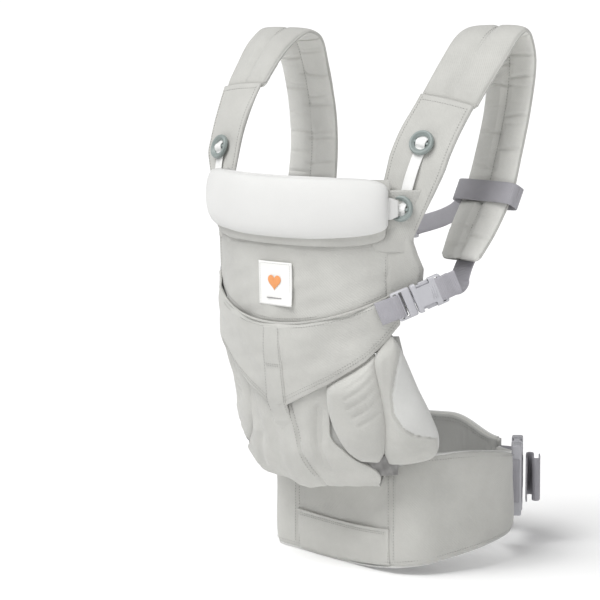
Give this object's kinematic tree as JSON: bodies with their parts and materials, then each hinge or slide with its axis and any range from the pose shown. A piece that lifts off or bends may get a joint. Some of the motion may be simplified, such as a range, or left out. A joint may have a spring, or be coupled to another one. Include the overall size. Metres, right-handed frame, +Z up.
{
  "type": "soft baby carrier",
  "caption": "Soft structured baby carrier with a padded waist belt, body panel, leg rolls, padded shoulder straps, fold-down head support and side-release buckles.",
  "frame": {"origin": "middle of the space that the waist belt closes round, level with the middle of the belt height, where the wearer's waist goes", "axes": "+Z up the wearer's body, -Y out through the front of the carrier, +X to the wearer's left"},
  "size_m": [0.3794, 0.3818, 0.5842],
  "materials": {
    "main_fabric": "fine twill cotton, pearl grey",
    "lining": "quilted cotton lining, grey",
    "foam": "soft foam and wadding inside the covers",
    "white_fabric": "smooth white cotton",
    "white_tape": "narrow white woven tape",
    "label": "white satin label",
    "webbing": "ribbed lavender-grey webbing",
    "buckle_plastic": "satin moulded acetal, light grey",
    "button_plastic": "satin grey-green plastic"
  },
  "bodies": {
    "carrier": {"belt_cover": "main_fabric", "belt_foam": "foam", "belt_lining": "lining", "belt_pocket": "main_fabric", "button_tape_left": "white_tape", "button_tape_right": "white_tape", "care_label": "label", "cross_flap": "main_fabric", "front_leg_roll_left": "main_fabric", "front_leg_roll_right": "main_fabric", "panel_foam": "foam", "panel_lining": "lining", "rear_leg_roll_left": "main_fabric", "rear_leg_roll_right": "main_fabric", "seat_panel": "main_fabric", "side_anchor_left": "webbing", "side_anchor_right": "webbing", "side_buckle_left_plug": "buckle_plastic", "side_buckle_right_plug": "buckle_plastic", "side_wing_left": "main_fabric", "side_wing_right": "main_fabric", "strap_base_left": "main_fabric", "strap_base_right": "main_fabric", "strap_cover_left": "main_fabric", "strap_cover_right": "main_fabric", "strap_foam_left": "foam", "strap_foam_right": "foam", "strap_lining_left": "lining", "strap_lining_right": "lining", "upper_panel_cover": "main_fabric", "waist_buckle_plug": "buckle_plastic", "waist_webbing_near": "webbing", "waist_webbing_tail": "webbing"},
    "head_support": {"head_support_pad": "white_fabric", "head_support_backing": "main_fabric"},
    "button_upper_left": {"button_upper_left": "button_plastic"},
    "button_lower_left": {"button_lower_left": "button_plastic"},
    "button_upper_right": {"button_upper_right": "button_plastic"},
    "button_lower_right": {"button_lower_right": "button_plastic"},
    "side_left_socket": {"side_buckle_left_socket": "buckle_plastic", "side_webbing_left": "webbing"},
    "side_buckle_left_prong_upper": {"side_buckle_left_prong_upper": "buckle_plastic"},
    "side_buckle_left_prong_lower": {"side_buckle_left_prong_lower": "buckle_plastic"},
    "side_right_socket": {"side_buckle_right_socket": "buckle_plastic", "side_webbing_right": "webbing"},
    "side_buckle_right_prong_upper": {"side_buckle_right_prong_upper": "buckle_plastic"},
    "side_buckle_right_prong_lower": {"side_buckle_right_prong_lower": "buckle_plastic"},
    "waist_socket": {"waist_buckle_socket": "buckle_plastic", "waist_webbing_far": "webbing"},
    "waist_buckle_prong_upper": {"waist_buckle_prong_upper": "buckle_plastic"},
    "waist_buckle_prong_lower": {"waist_buckle_prong_lower": "buckle_plastic"},
    "chest_strap": {"chest_slider_left": "webbing", "chest_slider_right": "webbing", "chest_webbing_left": "webbing", "chest_buckle_plug": "buckle_plastic"},
    "chest_socket": {"chest_buckle_socket": "buckle_plastic", "chest_webbing_right": "webbing"},
    "chest_buckle_prong_upper": {"chest_buckle_prong_upper": "buckle_plastic"},
    "chest_buckle_prong_lower": {"chest_buckle_prong_lower": "buckle_plastic"}
  },
  "joints": [
    {"name": "head_support_fold", "type": "hinge", "parent": "carrier", "child": "head_support", "pos_m": [0, -0.228, 0.362], "axis": [-1, 0, 0], "range_deg": [0, 150]},
    {"name": "button_upper_left_swivel", "type": "hinge", "parent": "carrier", "child": "button_upper_left", "pos_m": [0.13415, -0.14417, 0.39905], "axis": [0.2163, -0.8703, 0.4425], "range_deg": [-20, 20]},
    {"name": "button_lower_left_swivel", "type": "hinge", "parent": "carrier", "child": "button_lower_left", "pos_m": [0.12768, -0.16748, 0.33284], "axis": [0.2414, -0.9655, 0.0981], "range_deg": [-20, 20]},
    {"name": "button_upper_right_swivel", "type": "hinge", "parent": "carrier", "child": "button_upper_right", "pos_m": [-0.14621, -0.15041, 0.38159], "axis": [-0.2313, -0.9216, 0.3116], "range_deg": [-20, 20]},
    {"name": "button_lower_right_swivel", "type": "hinge", "parent": "carrier", "child": "button_lower_right", "pos_m": [-0.1382, -0.16331, 0.33262], "axis": [-0.2419, -0.9677, 0.0708], "range_deg": [-20, 20]},
    {"name": "side_buckle_left_unclip", "type": "slide", "parent": "carrier", "child": "side_left_socket", "axis": [0.5865, 0.7136, 0.3833], "range_m": [0, 0.0245]},
    {"name": "side_buckle_left_prong_upper_press", "type": "slide", "parent": "carrier", "child": "side_buckle_left_prong_upper", "axis": [0.3008, 0.2475, -0.921], "range_m": [0, 0.0022], "stiffness_N_per_m": 300},
    {"name": "side_buckle_left_prong_lower_press", "type": "slide", "parent": "carrier", "child": "side_buckle_left_prong_lower", "axis": [-0.3008, -0.2475, 0.921], "range_m": [0, 0.0022], "stiffness_N_per_m": 300},
    {"name": "side_buckle_right_unclip", "type": "slide", "parent": "carrier", "child": "side_right_socket", "axis": [-0.2501, 0.9205, 0.3002], "range_m": [0, 0.0245]},
    {"name": "side_buckle_right_prong_upper_press", "type": "slide", "parent": "carrier", "child": "side_buckle_right_prong_upper", "axis": [0.1693, -0.2636, 0.9496], "range_m": [0, 0.0022], "stiffness_N_per_m": 300},
    {"name": "side_buckle_right_prong_lower_press", "type": "slide", "parent": "carrier", "child": "side_buckle_right_prong_lower", "axis": [-0.1693, 0.2636, -0.9496], "range_m": [0, 0.0022], "stiffness_N_per_m": 300},
    {"name": "waist_buckle_unclip", "type": "slide", "parent": "carrier", "child": "waist_socket", "axis": [-0.6, 0.8, 0], "range_m": [0, 0.033]},
    {"name": "waist_buckle_prong_upper_press", "type": "slide", "parent": "carrier", "child": "waist_buckle_prong_upper", "axis": [0, 0, -1], "range_m": [0, 0.003], "stiffness_N_per_m": 500},
    {"name": "waist_buckle_prong_lower_press", "type": "slide", "parent": "carrier", "child": "waist_buckle_prong_lower", "axis": [0, 0, 1], "range_m": [0, 0.003], "stiffness_N_per_m": 500},
    {"name": "chest_strap_height", "type": "slide", "parent": "carrier", "child": "chest_strap", "axis": [0, 0.3099, 0.9508], "range_m": [-0.008, 0.008]},
    {"name": "chest_buckle_unclip", "type": "slide", "parent": "chest_strap", "child": "chest_socket", "axis": [-0.977, 0.2085, -0.0446], "range_m": [0, 0.0205]},
    {"name": "chest_buckle_prong_upper_press", "type": "slide", "parent": "chest_strap", "child": "chest_buckle_prong_upper", "axis": [-0.0436, 0.0093, 0.999], "range_m": [0, 0.0018], "stiffness_N_per_m": 250},
    {"name": "chest_buckle_prong_lower_press", "type": "slide", "parent": "chest_strap", "child": "chest_buckle_prong_lower", "axis": [0.0436, -0.0093, -0.999], "range_m": [0, 0.0018], "stiffness_N_per_m": 250}
  ],
  "couplings": [
    {"joint": "side_buckle_left_prong_lower_press", "follows": "side_buckle_left_prong_upper_press", "ratio": 1},
    {"joint": "side_buckle_right_prong_lower_press", "follows": "side_buckle_right_prong_upper_press", "ratio": 1},
    {"joint": "waist_buckle_prong_lower_press", "follows": "waist_buckle_prong_upper_press", "ratio": 1},
    {"joint": "chest_buckle_prong_lower_press", "follows": "chest_buckle_prong_upper_press", "ratio": 1}
  ]
}
